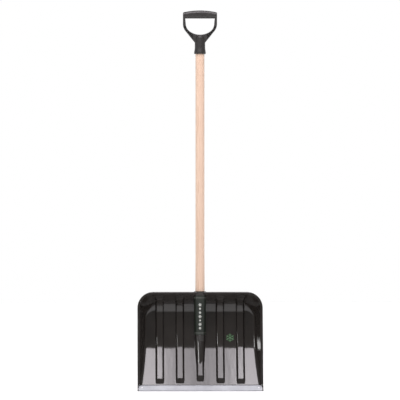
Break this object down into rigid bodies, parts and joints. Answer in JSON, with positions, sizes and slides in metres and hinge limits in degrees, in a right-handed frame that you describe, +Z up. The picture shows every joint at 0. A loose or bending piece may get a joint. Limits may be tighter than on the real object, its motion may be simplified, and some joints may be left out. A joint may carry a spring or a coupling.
{
  "type": "snow shovel",
  "caption": "Snow shovel with a wide black moulded scoop, ribbed floor, aluminium wear strip on the lip, straight wooden shaft and black D-grip.",
  "frame": {"origin": "centre of the narrow flat on the nose of the wear strip, where the shovel stands on the ground", "axes": "+Z up along the shaft, -Y out of the front of the scoop, +X to the scoop's right as seen from the front"},
  "size_m": [0.5, 0.1665, 1.5161],
  "materials": {
    "scoop_plastic": "glossy injection-moulded polypropylene",
    "strip_aluminium": "bright rolled strip",
    "rivet_aluminium": "satin",
    "mandrel_steel": "zinc plated",
    "shaft_wood": "sanded, clear sealed hardwood",
    "grip_plastic": "satin moulded plastic",
    "screw_steel": "zinc plated",
    "label_foil": "printed plastic foil",
    "mark_print": "printed plastic foil"
  },
  "bodies": {
    "root": {"scoop": "scoop_plastic", "edge_strip": "strip_aluminium", "edge_rivet_left": "rivet_aluminium", "edge_rivet_right": "rivet_aluminium", "edge_rivet_left_pin": "mandrel_steel", "edge_rivet_right_pin": "mandrel_steel", "shaft": "shaft_wood", "d_grip": "grip_plastic", "socket_screw": "screw_steel", "grip_screw": "screw_steel", "socket_label": "label_foil", "snowflake_mark": "mark_print"}
  },
  "joints": []
}
